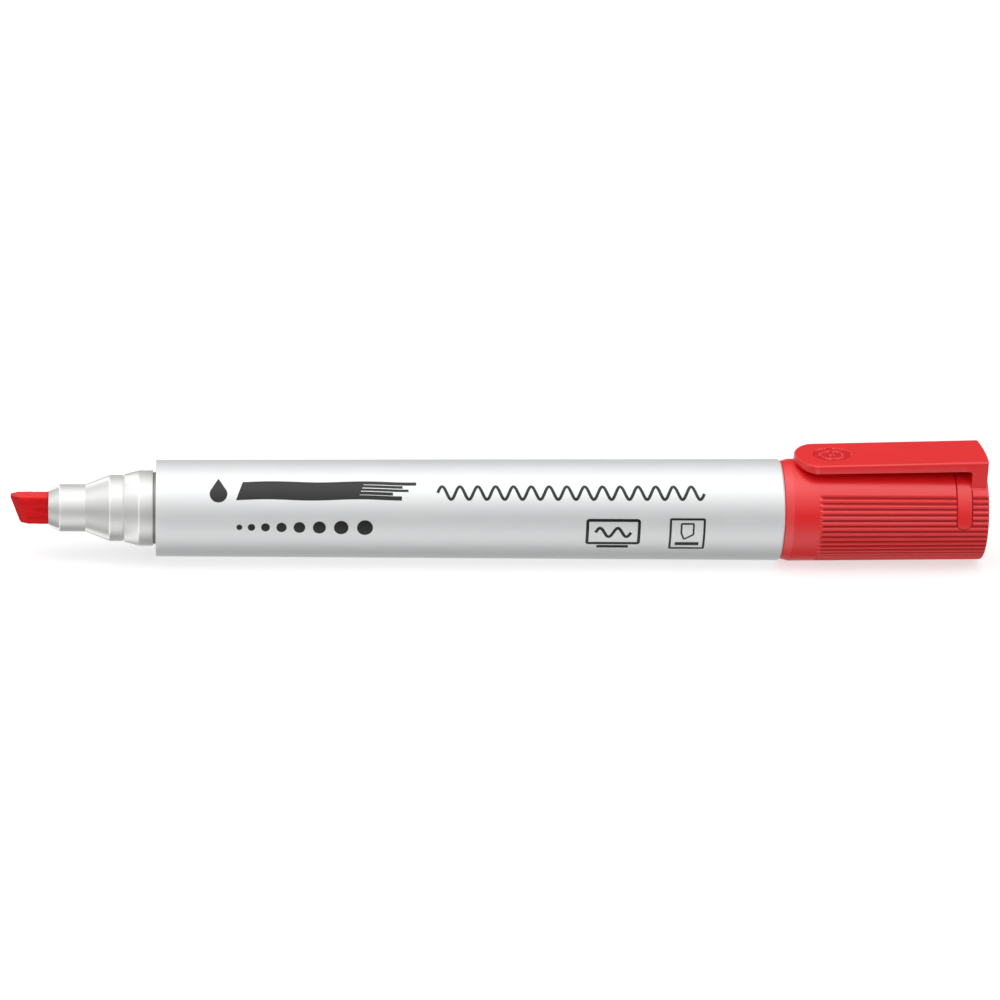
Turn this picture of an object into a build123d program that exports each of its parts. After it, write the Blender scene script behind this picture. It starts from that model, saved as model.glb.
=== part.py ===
from build123d import *
import os
from math import atan2, degrees

# Whiteboard marker with its cap posted on the rear. Millimetres.
# +X runs along the axis from the nib to the cap's end, +Z towards the pocket clip.
# The origin is on the axis at the barrel's front shoulder, where the cap's mouth seats
# when the marker is closed.

# --- fits ---
PRESS = 0.03            # radial interference of pieces pressed together for good
RUNNING = 0.05          # radial clearance of pieces that turn or slide on each other
SNAP_CLEARANCE = 0.02   # radial clearance of the snap bead, drawn without its squeeze
ROUND_SHARE = 0.3       # middle point of a rounding that is drawn as two bevels
CUT_MARGIN = 1.0        # how far cutters stand past the face that they cut

# --- barrel ---
BARREL_LENGTH = 97.0
BARREL_FRONT_R = 7.45
BARREL_REAR_R = 7.90
BARREL_WALL = 1.15
BARREL_REAR_BEVEL = 0.25
BARREL_RIBS = 6         # inner ribs that centre the reservoir
BARREL_RIB_WIDTH = 0.8
BARREL_RIB_GAP = 1.5    # between the ribs and the pieces pressed into each end
RESERVOIR_PLAY = 0.03   # between the ribs and the reservoir

# --- nib holder, from the nib back to the barrel ---
HOLDER_FRONT_X = -16.45
HOLDER_FRONT_R = 2.80
SEAL_FRONT_X = -14.90   # front cylinder, which the cap's seal cup closes on
SEAL_REAR_X = -11.05
SEAL_R = 3.65
STEP_FRONT_X = -7.45    # middle cylinder
STEP_REAR_X = -5.10
STEP_R = 5.12
STEP_GROOVE_DEPTH = 0.15
SEAT_CONE_X = -4.80     # swelling up to the seat cylinder that the cap's bead grips
SEAT_CONE_R = 5.24
SEAT_CONE_BULGE = 0.06
SEAT_FRONT_X = -2.66
SEAT_REAR_X = -0.28
SEAT_R = 5.83
NECK_R = 5.35           # short neck that leaves a shadow gap in front of the barrel
SPIGOT_LENGTH = 8.0     # rear of the holder, pressed into the barrel
HOLDER_WALL = 0.95
SLEEVE_WALL = 0.7       # inner sleeve round the nib
SLEEVE_CORNER = 0.9
SLEEVE_ROOT = 0.5       # how far the sleeve reaches into the solid front of the holder
HOLLOW_FRONT_X = -10.75
SLEEVE_REAR_X = 1.0
WEB_THICKNESS = 0.8

# --- chisel nib ---
NIB_TIP_X = -22.4
NIB_HEIGHT = 4.4
NIB_THICKNESS = 3.1
NIB_EDGE_THICKNESS = 1.05
NIB_SLANT = 1.55        # how far the writing edge runs back from its long corner
NIB_BEVEL = 1.55        # length of the two bevels that thin the writing edge
NIB_CORNER = 0.3
NIB_REAR_X = 13.5
NIB_TAPER_LENGTH = 5.0
NIB_REAR_SCALE = 0.45

# --- reservoir ---
RESERVOIR_X = 8.2
RESERVOIR_LENGTH = 71.8
FIBRE_R = 5.60
FILM_THICKNESS = 0.12
TUBE_R = 0.60
TUBE_BORE_R = 0.38
TUBE_GROOVE_PLAY = 0.04
TUBE_OVERHANG = 4.0     # how far the breather tube stands out of the reservoir's rear
FILM_PLAY = 0.01

# --- end plug ---
PLUG_SKIRT_LENGTH = 16.5
PLUG_WALL = 1.0
PLUG_FLANGE = 1.4
POST_SPIGOT_R = 5.83    # same size as the holder's seat, so that the cap fits both ends
POST_SPIGOT_LENGTH = 9.5
POST_SPIGOT_ROUND = 1.2
POST_SPIGOT_END_WALL = 1.2

# --- cap, posted with its mouth on the barrel's rear edge ---
CAP_LENGTH = 31.9
CAP_MOUTH_R = 7.60
CAP_LIP_LENGTH = 1.4    # bevelled lip at the mouth
CAP_LIP_R = 7.97
CAP_END_R = 7.70
CAP_END_ROUND = 0.35
CAP_BORE_R = 6.60
CAP_MOUTH_DEPTH = 10.3  # straight bore that takes the seat cylinder or the rear spigot
CAP_END_WALL = 1.4
CAP_MOUTH_LEAD = 0.35   # lead-in cone at the mouth
CAP_STEP = 0.6          # bevels inside the bore
BEAD_DEPTH = 1.5        # snap bead's distance inside the mouth
BEAD_HALF_LENGTH = 0.45

# --- grip ribs, cut as fine round-bottomed grooves ---
GROOVES_PER_TURN = 54
GROOVE_FREE_ANGLE = 56.0    # half of the plain band under the clip, degrees
GROOVE_START = 5.3          # distance from the mouth
GROOVE_R = 0.40
GROOVE_DEPTH = 0.27

# --- plain pads that interrupt the grooves, one on each side of the clip post ---
PAD_START = 26.85           # distance from the mouth
PAD_WIDTH = 2.4
PAD_REACH_ANGLE = 93.6      # where the rounded end stops, from the clip's plane
PAD_ROOT_DEPTH = 0.8

# --- clip ---
CLIP_WIDTH = 10.4
CLIP_TIP = 2.0              # distance of the free end from the cap's mouth
CLIP_NOSE = 2.85            # length of the half-oval free end
CLIP_TIP_TOP = 9.40         # height of the outer face above the axis
CLIP_ROOT_TOP = 9.80
CLIP_TIP_THICKNESS = 1.36
CLIP_ROOT_THICKNESS = 1.50
CLIP_EDGE_ROUND = 0.30
CLIP_SEAM = 0.04            # gap at the line where the clip bends
POST_START = 29.2           # the post stands between this and the cap's end
POST_SETBACK = 0.12         # end of the post, from the end of the cap
POST_FOOT_Z = 5.0           # the post's foot, buried in the cap's wall
MARK_R = 3.05               # shallow round recess near the clip's free end
MARK_FROM_TIP = 5.9
MARK_DEPTH = 0.2

# --- seal cup inside the cap ---
CUP_DEPTH = 11.2            # distance of its mouth inside the cap's mouth
CUP_LENGTH = 12.6
CUP_R = 4.75
CUP_WALL = 1.0
CUP_FLANGE = 1.4
SEAL_LIP_LENGTH = 3.2
SEAL_LEAD = 0.6             # lead-in cones of the seal lip

TUBE_Z = -(FIBRE_R - TUBE_R - FILM_PLAY)   # the tube lies against the film, opposite the clip
CAP_MOUTH_X = BARREL_LENGTH
CAP_END_X = CAP_MOUTH_X + CAP_LENGTH
CAP_LIP_X = CAP_MOUTH_X + CAP_LIP_LENGTH
TAPER = (BARREL_REAR_R - BARREL_FRONT_R) / BARREL_LENGTH
CAP_DRAFT = (CAP_LIP_R - CAP_END_R) / (CAP_LENGTH - CAP_LIP_LENGTH)


def barrel_outer_r(x):
    return BARREL_FRONT_R + TAPER * x


def barrel_inner_r(x):
    return barrel_outer_r(x) - BARREL_WALL


def cap_outer_r(x):
    return CAP_LIP_R - CAP_DRAFT * (x - CAP_LIP_X)


def turned(points):
    """Solid of revolution about the X axis from (x, radius) points."""
    outline = Polyline(*[(x, 0, r) for x, r in points], close=True)
    return revolve(make_face(outline), axis=Axis.X)


def rod(x_start, x_end, r, y=0.0, z=0.0):
    """Round rod parallel to the X axis."""
    start = Plane(origin=(x_start, y, z), z_dir=(1, 0, 0))
    return extrude(start * Circle(r), x_end - x_start)


def block(x_range, y_range, z_range):
    """Box given by its lowest and highest value along each axis."""
    size = [high - low for low, high in (x_range, y_range, z_range)]
    middle = [(low + high) / 2 for low, high in (x_range, y_range, z_range)]
    return Pos(*middle) * Box(*size)


def make_barrel():
    bevel = BARREL_REAR_BEVEL
    tube = turned([
        (0, barrel_inner_r(0)),
        (0, BARREL_FRONT_R),
        (BARREL_LENGTH - bevel, barrel_outer_r(BARREL_LENGTH - bevel)),
        (BARREL_LENGTH, BARREL_REAR_R - bevel),
        (BARREL_LENGTH, barrel_inner_r(BARREL_LENGTH)),
    ])
    # The inner ribs stop clear of the pressed-in holder and plug.
    rib_start = SPIGOT_LENGTH + BARREL_RIB_GAP
    rib_end = BARREL_LENGTH - PLUG_SKIRT_LENGTH - BARREL_RIB_GAP
    rib_tip_r = FIBRE_R + FILM_THICKNESS + RESERVOIR_PLAY
    rib_base_r = barrel_inner_r(rib_start) + BARREL_WALL / 2
    half = BARREL_RIB_WIDTH / 2
    rib = block((rib_start, rib_end), (-half, half), (rib_tip_r, rib_base_r))
    for i in range(BARREL_RIBS):
        tube += Rot(360 / BARREL_RIBS * i, 0, 0) * rib
    return tube


def yz_plane(x):
    """Plane across the axis whose local X is the row's Y and local Y is the row's Z."""
    return Plane(origin=(x, 0, 0), x_dir=(0, 1, 0), z_dir=(1, 0, 0))


def nib_section(scale=1.0):
    return RectangleRounded(NIB_THICKNESS * scale, NIB_HEIGHT * scale, NIB_CORNER * scale)


def make_nib_holder():
    spigot_r = [barrel_inner_r(x) + PRESS for x in (0, SPIGOT_LENGTH)]
    groove_x = (STEP_REAR_X + SEAT_CONE_X) / 2
    outer = turned([
        (HOLDER_FRONT_X, 0),
        (HOLDER_FRONT_X, HOLDER_FRONT_R),
        (SEAL_FRONT_X, SEAL_R),
        (SEAL_REAR_X, SEAL_R),
        (STEP_FRONT_X, STEP_R),
        (STEP_REAR_X, STEP_R),
        (groove_x, STEP_R - STEP_GROOVE_DEPTH),
        (SEAT_CONE_X, SEAT_CONE_R),
        ((SEAT_CONE_X + SEAT_FRONT_X) / 2, (SEAT_CONE_R + SEAT_R) / 2 + SEAT_CONE_BULGE),
        (SEAT_FRONT_X, SEAT_R),
        (SEAT_REAR_X, SEAT_R),
        (SEAT_REAR_X, NECK_R),
        (0, NECK_R),
        (0, spigot_r[0]),
        (SPIGOT_LENGTH, spigot_r[1]),
        (SPIGOT_LENGTH, 0),
    ])
    # The hollow follows the outside, and widens behind the seat.
    wall = HOLDER_WALL
    hollow = turned([
        (HOLLOW_FRONT_X, 0),
        (HOLLOW_FRONT_X, SEAL_R - wall),
        (STEP_FRONT_X, STEP_R - wall),
        (STEP_REAR_X, STEP_R - wall),
        (SEAT_FRONT_X, NECK_R - wall),
        (wall, NECK_R - wall),
        (2 * wall, spigot_r[0] - wall),
        (SPIGOT_LENGTH + CUT_MARGIN, spigot_r[1] - wall),
        (SPIGOT_LENGTH + CUT_MARGIN, 0),
    ])
    sleeve_size = (NIB_THICKNESS + 2 * SLEEVE_WALL, NIB_HEIGHT + 2 * SLEEVE_WALL)
    sleeve_start = HOLLOW_FRONT_X - SLEEVE_ROOT
    sleeve_face = yz_plane(sleeve_start) * RectangleRounded(*sleeve_size, SLEEVE_CORNER)
    sleeve = extrude(sleeve_face, SLEEVE_REAR_X - sleeve_start)
    # Four webs hold the sleeve in the middle of the shell.
    web_start = STEP_REAR_X
    half = WEB_THICKNESS / 2
    reach = NECK_R - wall / 2
    across = block((web_start, SLEEVE_REAR_X), (-reach, reach), (-half, half))
    upright = block((web_start, SLEEVE_REAR_X), (-half, half), (-reach, reach))
    inner = sleeve & turned([
        (HOLDER_FRONT_X, 0),
        (HOLDER_FRONT_X, HOLDER_FRONT_R),
        (SEAL_REAR_X, SEAL_R),
        (STEP_FRONT_X, STEP_R),
        (SLEEVE_REAR_X, STEP_R),
        (SLEEVE_REAR_X, 0),
    ])
    shell = outer - hollow + inner + across + upright
    hole_length = SLEEVE_REAR_X - HOLDER_FRONT_X + 2 * CUT_MARGIN
    nib_hole = extrude(yz_plane(HOLDER_FRONT_X - CUT_MARGIN) * nib_section(), hole_length)
    return shell - nib_hole


def make_nib():
    """Felt rod of rounded-rectangle section, chisel cut in front, tapered behind."""
    straight_end = NIB_REAR_X - NIB_TAPER_LENGTH
    body = extrude(yz_plane(NIB_TIP_X) * nib_section(), straight_end - NIB_TIP_X)
    tail = loft([yz_plane(straight_end) * nib_section(), yz_plane(NIB_REAR_X) * nib_section(NIB_REAR_SCALE)])
    rod_solid = body + tail
    # The writing edge slants back from the top corner.
    top = NIB_HEIGHT / 2
    slope = NIB_SLANT / NIB_HEIGHT
    margin = CUT_MARGIN
    ahead_x = NIB_TIP_X - 4 * margin
    edge_cut = Polyline(
        (NIB_TIP_X - slope * margin, 0, top + margin),
        (NIB_TIP_X + NIB_SLANT + slope * margin, 0, -top - margin),
        (ahead_x, 0, -top - margin),
        (ahead_x, 0, top + margin),
        close=True,
    )
    rod_solid -= extrude(make_face(edge_cut), NIB_THICKNESS, both=True)
    # A flat bevel on each broad face thins that edge, parallel to it.
    half = NIB_THICKNESS / 2
    edge_half = NIB_EDGE_THICKNESS / 2
    spread = (half - edge_half) / NIB_BEVEL
    for side in (-1, 1):
        wedge = Polyline(
            (NIB_TIP_X - margin, side * (edge_half - spread * margin), 0),
            (NIB_TIP_X + NIB_BEVEL + margin, side * (half + spread * margin), 0),
            (NIB_TIP_X - margin, side * (half + spread * margin), 0),
            close=True,
        )
        face = Pos(0, 0, top) * make_face(wedge)
        sweep_down = Vector(2 * NIB_SLANT, 0, -2 * NIB_HEIGHT)
        wedge_solid = Solid.extrude(face.moved(Pos(-slope * top, 0, top)).face(), sweep_down)
        rod_solid -= wedge_solid
    return rod_solid


def make_reservoir_fibre(nib, breather_groove):
    end = RESERVOIR_X + RESERVOIR_LENGTH
    return rod(RESERVOIR_X, end, FIBRE_R) - breather_groove - nib


def make_reservoir_film():
    end = RESERVOIR_X + RESERVOIR_LENGTH
    inner_r = FIBRE_R + FILM_PLAY
    hole = rod(RESERVOIR_X - CUT_MARGIN, end + CUT_MARGIN, inner_r)
    return rod(RESERVOIR_X, end, FIBRE_R + FILM_THICKNESS) - hole


def make_breather_groove():
    end = RESERVOIR_X + RESERVOIR_LENGTH
    groove_r = TUBE_R + TUBE_GROOVE_PLAY
    return rod(RESERVOIR_X - CUT_MARGIN, end + CUT_MARGIN, groove_r, z=TUBE_Z)


def make_breather_tube():
    start = RESERVOIR_X
    end = RESERVOIR_X + RESERVOIR_LENGTH + TUBE_OVERHANG
    bore = rod(start - CUT_MARGIN, end + CUT_MARGIN, TUBE_BORE_R, z=TUBE_Z)
    return rod(start, end, TUBE_R, z=TUBE_Z) - bore


def make_end_plug():
    """Plug with a skirt inside the barrel and a hollow spigot that the cap posts on."""
    skirt_x = BARREL_LENGTH - PLUG_SKIRT_LENGTH
    skirt_r = [barrel_inner_r(x) + PRESS for x in (skirt_x, BARREL_LENGTH)]
    spigot_end = BARREL_LENGTH + POST_SPIGOT_LENGTH
    wall = PLUG_WALL
    outer = turned([
        (skirt_x, 0),
        (skirt_x, skirt_r[0]),
        (BARREL_LENGTH, skirt_r[1]),
        (BARREL_LENGTH, POST_SPIGOT_R),
        (spigot_end - POST_SPIGOT_ROUND, POST_SPIGOT_R),
        (spigot_end - POST_SPIGOT_ROUND * ROUND_SHARE, POST_SPIGOT_R - POST_SPIGOT_ROUND * ROUND_SHARE),
        (spigot_end, POST_SPIGOT_R - POST_SPIGOT_ROUND),
        (spigot_end, 0),
    ])
    shoulder = BARREL_LENGTH - PLUG_FLANGE
    hollow_end = spigot_end - POST_SPIGOT_END_WALL
    hollow = turned([
        (skirt_x - CUT_MARGIN, 0),
        (skirt_x - CUT_MARGIN, skirt_r[0] - wall),
        (shoulder, skirt_r[1] - wall),
        (shoulder + wall, POST_SPIGOT_R - wall),
        (hollow_end - POST_SPIGOT_ROUND / 2, POST_SPIGOT_R - wall),
        (hollow_end, POST_SPIGOT_R - wall - POST_SPIGOT_ROUND / 2),
        (hollow_end, 0),
    ])
    return outer - hollow


def cap_blank():
    """Outside of the cap without grooves, pads, clip or hollow."""
    end_round = CAP_END_ROUND
    return turned([
        (CAP_MOUTH_X, 0),
        (CAP_MOUTH_X, CAP_MOUTH_R),
        (CAP_LIP_X, CAP_LIP_R),
        (CAP_END_X - end_round, cap_outer_r(CAP_END_X - end_round)),
        (CAP_END_X - ROUND_SHARE * end_round, CAP_END_R - ROUND_SHARE * end_round),
        (CAP_END_X, CAP_END_R - end_round),
        (CAP_END_X, 0),
    ])


def cap_hollow():
    """Mouth bore with its snap bead, then the space that holds the seal cup."""
    mouth_r = SEAT_R + RUNNING
    bead_r = SEAT_R + SNAP_CLEARANCE
    bead_x = CAP_MOUTH_X + BEAD_DEPTH
    step_x = CAP_MOUTH_X + CAP_MOUTH_DEPTH
    inner_end = CAP_END_X - CAP_END_WALL
    return turned([
        (CAP_MOUTH_X - CUT_MARGIN, 0),
        (CAP_MOUTH_X - CUT_MARGIN, mouth_r + CAP_MOUTH_LEAD),
        (CAP_MOUTH_X, mouth_r + CAP_MOUTH_LEAD),
        (CAP_MOUTH_X + CAP_MOUTH_LEAD, mouth_r),
        (bead_x - BEAD_HALF_LENGTH, mouth_r),
        (bead_x, bead_r),
        (bead_x + BEAD_HALF_LENGTH, mouth_r),
        (step_x, mouth_r),
        (step_x + CAP_STEP, CAP_BORE_R),
        (inner_end - CAP_STEP, CAP_BORE_R),
        (inner_end, CAP_BORE_R - CAP_STEP),
        (inner_end, 0),
    ])


def cap_grooves():
    """One cutter per groove, parallel to the drafted outer face, with round starts."""
    pitch = 360 / GROOVES_PER_TURN
    count = int((360 - 2 * GROOVE_FREE_ANGLE) / pitch) + 1
    first = 180 - pitch * (count - 1) / 2
    start_x = CAP_MOUTH_X + GROOVE_START
    centre_r = cap_outer_r(start_x) + GROOVE_R - GROOVE_DEPTH
    length = CAP_END_X - start_x + CUT_MARGIN
    tilt = degrees(atan2(CAP_DRAFT, 1))
    cutter = extrude(Circle(GROOVE_R), length) + Sphere(GROOVE_R)
    cutter = Pos(start_x, 0, centre_r) * Rot(0, 90 + tilt, 0) * cutter
    return [Rot(first + pitch * i, 0, 0) * cutter for i in range(count)]


def cap_pads():
    """Round-ended bands on both sides of the clip's post, where no groove is cut."""
    low_x = CAP_MOUTH_X + PAD_START
    mid_x = low_x + PAD_WIDTH / 2
    inner_r = CAP_END_R - PAD_ROOT_DEPTH
    outer_r = CAP_LIP_R + CUT_MARGIN
    end_angle = PAD_REACH_ANGLE - degrees(PAD_WIDTH / 2 / cap_outer_r(mid_x))
    section = Polyline(
        (low_x, 0, inner_r),
        (low_x + PAD_WIDTH, 0, inner_r),
        (low_x + PAD_WIDTH, 0, outer_r),
        (low_x, 0, outer_r),
        close=True,
    )
    band = revolve(make_face(section), axis=Axis.X, revolution_arc=2 * end_angle)
    band = Rot(-end_angle, 0, 0) * band
    for side in (-1, 1):
        end = Pos(mid_x, 0, inner_r) * extrude(Circle(PAD_WIDTH / 2), outer_r - inner_r)
        band += Rot(side * end_angle, 0, 0) * end
    return band


def clip_top(x):
    """Height of the clip's outer face, a straight line from the free end to the cap's end."""
    run = (x - CAP_MOUTH_X - CLIP_TIP) / (CAP_LENGTH - CLIP_TIP)
    return CLIP_TIP_TOP + (CLIP_ROOT_TOP - CLIP_TIP_TOP) * run


def clip_underside(x):
    run = (x - CAP_MOUTH_X - CLIP_TIP) / (CAP_LENGTH - CLIP_TIP)
    return clip_top(x) - CLIP_TIP_THICKNESS - (CLIP_ROOT_THICKNESS - CLIP_TIP_THICKNESS) * run


def xz_prism(points, y_half):
    """Prism across the marker from (x, z) points."""
    outline = Polyline(*[(x, 0, z) for x, z in points], close=True)
    return extrude(make_face(outline), y_half, both=True)


def make_cap_shell():
    pads = cap_pads()
    shell = cap_blank() - [groove - pads for groove in cap_grooves()]
    # The post stands across the cap's end and carries the clip.
    half = CLIP_WIDTH / 2
    post_x = CAP_MOUTH_X + POST_START
    post_end = CAP_END_X - POST_SETBACK
    post = xz_prism([
        (post_x, POST_FOOT_Z),
        (post_x, clip_top(post_x)),
        (post_end, clip_top(post_end)),
        (post_end, POST_FOOT_Z),
    ], half)
    # The post's upper side edges are rounded like the clip's.
    long_edges = post.edges().filter_by(Axis.Z, reverse=True).filter_by(Axis.Y, reverse=True)
    post = fillet(long_edges.sort_by(Axis.Z)[-2:], CLIP_EDGE_ROUND)
    return shell + post - cap_hollow()


def make_clip_arm():
    tip_x = CAP_MOUTH_X + CLIP_TIP
    straight_x = tip_x + CLIP_NOSE
    root_x = CAP_MOUTH_X + POST_START - CLIP_SEAM
    half = CLIP_WIDTH / 2
    plate = xz_prism([
        (tip_x, clip_underside(tip_x)),
        (root_x, clip_underside(root_x)),
        (root_x, clip_top(root_x)),
        (tip_x, clip_top(tip_x)),
    ], half)
    nose = Pos(straight_x, 0) * Ellipse(CLIP_NOSE, half)
    straight = Pos((straight_x + root_x) / 2, 0) * Rectangle(root_x - straight_x, CLIP_WIDTH)
    plan = extrude(nose + straight, CLIP_ROOT_TOP + CUT_MARGIN)
    arm = plate & plan
    # The outer face's edge is rounded all the way round, except at the bend line.
    outer_face = arm.faces().sort_by(Axis.Z)[-1]
    arm = fillet(outer_face.edges().sort_by(Axis.X)[:-1], CLIP_EDGE_ROUND)
    mark_x = tip_x + MARK_FROM_TIP
    slope = degrees(atan2(clip_top(root_x) - clip_top(tip_x), root_x - tip_x))
    mark_face = Pos(mark_x, 0, clip_top(mark_x)) * Rot(0, -slope, 0)
    mark = mark_face * Pos(0, 0, -MARK_DEPTH) * extrude(Circle(MARK_R), 2 * MARK_DEPTH)
    return arm - mark


def make_cap_inner():
    """Seal cup: a flange that sits in the cap, a lip that closes on the holder."""
    mouth_x = CAP_MOUTH_X + CUP_DEPTH
    end_x = mouth_x + CUP_LENGTH
    lip_r = SEAL_R + SNAP_CLEARANCE
    inside_r = CUP_R - CUP_WALL
    flange_r = CAP_BORE_R - RUNNING
    return turned([
        (mouth_x, lip_r + SEAL_LEAD),
        (mouth_x, flange_r),
        (mouth_x + CUP_FLANGE, flange_r),
        (mouth_x + CUP_FLANGE, CUP_R),
        (end_x, CUP_R),
        (end_x, 0),
        (end_x - CUP_WALL, 0),
        (end_x - CUP_WALL, inside_r),
        (mouth_x + SEAL_LIP_LENGTH + SEAL_LEAD, inside_r),
        (mouth_x + SEAL_LIP_LENGTH, lip_r),
        (mouth_x + SEAL_LEAD, lip_r),
    ])


nib = make_nib()
parts = {
    "barrel": make_barrel(),
    "nib_holder": make_nib_holder(),
    "nib": nib,
    "reservoir_fibre": make_reservoir_fibre(nib, make_breather_groove()),
    "reservoir_film": make_reservoir_film(),
    "breather_tube": make_breather_tube(),
    "end_plug": make_end_plug(),
    "cap_shell": make_cap_shell(),
    "cap_inner": make_cap_inner(),
    "clip_arm": make_clip_arm(),
}

os.makedirs("parts", exist_ok=True)
for name, solid in parts.items():
    export_step(solid, f"parts/{name}.step")
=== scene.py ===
import math

import bmesh
import bpy
from mathutils import Matrix, Vector, noise


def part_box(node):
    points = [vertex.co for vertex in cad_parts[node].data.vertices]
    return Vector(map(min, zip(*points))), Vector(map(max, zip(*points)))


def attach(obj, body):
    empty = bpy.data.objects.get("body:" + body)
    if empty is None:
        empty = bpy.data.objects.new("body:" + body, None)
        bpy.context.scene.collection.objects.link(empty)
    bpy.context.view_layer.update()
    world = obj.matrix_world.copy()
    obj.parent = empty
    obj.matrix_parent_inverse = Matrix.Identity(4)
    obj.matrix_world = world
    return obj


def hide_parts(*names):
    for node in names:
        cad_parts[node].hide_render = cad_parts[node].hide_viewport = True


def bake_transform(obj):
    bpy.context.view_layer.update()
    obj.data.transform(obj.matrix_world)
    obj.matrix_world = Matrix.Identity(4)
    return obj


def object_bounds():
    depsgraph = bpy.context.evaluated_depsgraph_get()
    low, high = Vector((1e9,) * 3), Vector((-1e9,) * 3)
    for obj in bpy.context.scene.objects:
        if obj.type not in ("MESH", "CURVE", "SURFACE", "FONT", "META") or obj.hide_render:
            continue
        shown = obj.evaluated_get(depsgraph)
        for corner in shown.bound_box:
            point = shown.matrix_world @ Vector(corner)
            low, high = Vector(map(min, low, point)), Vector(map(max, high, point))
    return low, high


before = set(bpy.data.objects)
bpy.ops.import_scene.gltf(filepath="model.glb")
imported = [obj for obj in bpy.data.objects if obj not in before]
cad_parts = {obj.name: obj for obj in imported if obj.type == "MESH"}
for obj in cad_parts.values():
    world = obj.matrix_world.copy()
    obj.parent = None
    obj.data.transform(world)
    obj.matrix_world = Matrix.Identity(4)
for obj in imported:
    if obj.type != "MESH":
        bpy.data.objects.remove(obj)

# Looks of a whiteboard marker with its cap posted. Shapes are worked out in millimetres in the
# row frame (+X from nib to cap end, +Z towards the clip, -Y towards the camera) and written as
# meshes in metres.

CAD_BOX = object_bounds()
MM = 0.001


def extent(node):
    """Lowest and highest corner of a CAD node, in millimetres."""
    low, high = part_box(node)
    return low / MM, high / MM


# --- places taken from the frame ---
BARREL_LOW, BARREL_HIGH = extent("barrel")
HOLDER_LOW, HOLDER_HIGH = extent("nib_holder")
NIB_LOW, NIB_HIGH = extent("nib")
PLUG_LOW, PLUG_HIGH = extent("end_plug")
CAP_LOW, CAP_HIGH = extent("cap_shell")
CLIP_LOW, CLIP_HIGH = extent("clip_arm")

BARREL_FRONT_X = BARREL_LOW.x
BARREL_REAR_X = BARREL_HIGH.x
MOUTH_X = CAP_LOW.x
CAP_END_X = CAP_HIGH.x

# --- driving sizes in millimetres ---
BARREL_FRONT_R = 7.45
BARREL_REAR_R = 7.90
BARREL_WALL = 1.15
HOLDER_NOSE_R = 2.80
SEAL_FRONT_X = -14.72       # cylinder that the cap's seal cup closes on
SEAL_REAR_X = -10.80
SEAL_R = 3.65
STEP_FRONT_X = -7.05        # middle cylinder
STEP_REAR_X = -5.10
STEP_R = 5.12
SWELL_X = -4.80             # from here the holder swells up to the seat that the cap snaps onto
SWELL_R = 5.24
SEAT_FRONT_X = -2.52
SEAT_R = 5.83
GROOVE_FRONT_X = BARREL_FRONT_X - 0.40      # shadow groove in front of the barrel
NECK_R = 5.55
NIB_TIP_LENGTH = 1.55       # both the slant of the writing edge and the length of its bevels
NIB_EDGE_HALF = 0.5
CAP_MOUTH_R = 7.60
MOUTH_SHADOW = 0.12         # length at the mouth's edge that is painted in shadow
CAP_LIP_R = 7.97
CAP_END_R = 7.70
CAP_LIP_X = MOUTH_X + 1.4
GROOVES_PER_TURN = 54
FIRST_GROOVE = 56.67        # degrees from the clip's plane
GROOVE_START_X = MOUTH_X + 5.1
GROOVE_DEPTH = 0.26
GROOVE_SHARPNESS = 1.15     # above 1 the ridges are wider than the valleys
GROOVE_RUN_IN = 1.1         # length over which a groove deepens
GROOVE_SAMPLES = 12         # mesh columns across a groove
PAD_LOW_X = MOUTH_X + 26.85
PAD_HALF = 1.2
PAD_REACH = 94.0            # degrees from the clip's plane
HAIRLINE_DEPTH = 0.15       # the line round the pad
HAIRLINE_HALF = 0.12
CLIP_NOSE = 3.5             # length of the half-oval nose
CLIP_HALF = 5.4
CLIP_TIP_TOP_Z = 9.04
CLIP_RISE = 0.80            # from the free end to the cap's end
CLIP_THICKNESS = 1.37       # at the free end
CLIP_THICKENING = 0.20
CLIP_TOP_R = 0.36           # edge roundings
CLIP_UNDER_R = 0.14
CLIP_END_R = 0.22
CLIP_ROOT_X = CAP_END_X - 0.02
CAP_CLEAR_Z = 8.06          # height at which the clip's underside clears the cap
NOSE_RAYS = 64
POST_X = CLIP_HIGH.x + 0.04
POST_FILLET = 0.35          # rounding between the post and the clip's underside
POST_FLARE = 0.16           # rounding between the post and the cap
POST_LEAN = 0.10            # the top of the root end stands out past its foot
POST_DROP = 3.2             # how far the post runs down into the cap's wall
MARK_X = CLIP_LOW.x + 5.9
MARK_R = 3.0
MARK_RING_R = 1.75
MARK_DEPTH = 0.24

SMOOTH_ANGLE = math.radians(32)
TURNED_SEGMENTS = 192


# ---------------------------------------------------------------- mesh helpers
def new_piece(name, verts, faces, material, body, stands_for=(), slot=None, painted_shade=None):
    """Mesh object from points in millimetres, shaded smooth with its real edges kept sharp."""
    mesh = bpy.data.meshes.new(name)
    mesh.from_pydata([Vector(v) * MM for v in verts], [], faces)
    mesh.validate()
    # Painted shade per point, which the material turns into darker, duller plastic.
    if painted_shade:
        mesh.attributes.new("painted_shade", "FLOAT", "POINT").data.foreach_set("value", painted_shade)
    build = bmesh.new()
    build.from_mesh(mesh)
    bmesh.ops.recalc_face_normals(build, faces=build.faces)
    build.to_mesh(mesh)
    build.free()
    mesh.polygons.foreach_set("use_smooth", [True] * len(mesh.polygons))
    mesh.set_sharp_from_angle(angle=SMOOTH_ANGLE)
    mesh.materials.append(material)
    obj = bpy.data.objects.new(name, mesh)
    bpy.context.scene.collection.objects.link(obj)
    if body:
        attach(obj, body)
    if stands_for:
        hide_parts(*stands_for)
    return obj


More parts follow.
